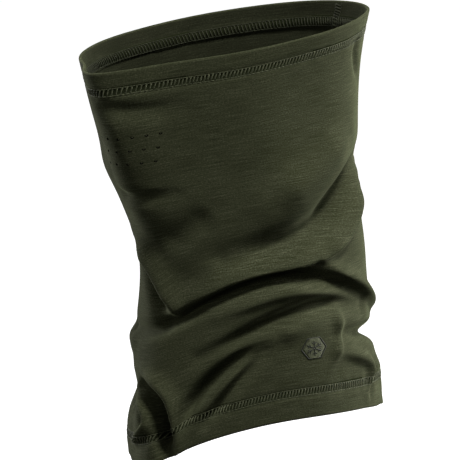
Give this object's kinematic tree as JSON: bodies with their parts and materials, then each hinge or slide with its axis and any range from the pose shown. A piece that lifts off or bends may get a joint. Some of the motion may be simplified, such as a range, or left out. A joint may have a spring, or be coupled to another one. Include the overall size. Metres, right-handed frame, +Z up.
{
  "type": "neck gaiter",
  "caption": "Knitted tube worn round the neck and over the lower face, with two turned hems, a flat back seam and breathing holes at the front.",
  "frame": {"origin": "centre of the neck passage at its narrowest level, where the wearer's neck goes through", "axes": "+Z up along the neck, -Y the front of the wearer, +X the wearer's left"},
  "size_m": [0.1619, 0.1876, 0.2873],
  "materials": {
    "jersey": "dark olive melange merino single jersey, matt, with a slight fuzz",
    "thread": "tone-on-tone spun polyester thread",
    "emblem_thread": "darker tone-on-tone embroidery, slightly glossy",
    "backing": "soft fused backing",
    "label": "smooth woven tape, blank"
  },
  "bodies": {
    "root": {"knit_panel": "jersey", "upper_hem_turn": "jersey", "lower_hem_turn": "jersey", "upper_hem_outer_stitching": "thread", "upper_hem_inner_stitching": "thread", "lower_hem_outer_stitching": "thread", "lower_hem_inner_stitching": "thread", "back_seam_outer_stitching": "thread", "back_seam_inner_stitching": "thread", "emblem_embroidery": "emblem_thread", "emblem_backing": "backing", "care_label": "label", "care_label_stitches": "thread"}
  },
  "joints": []
}
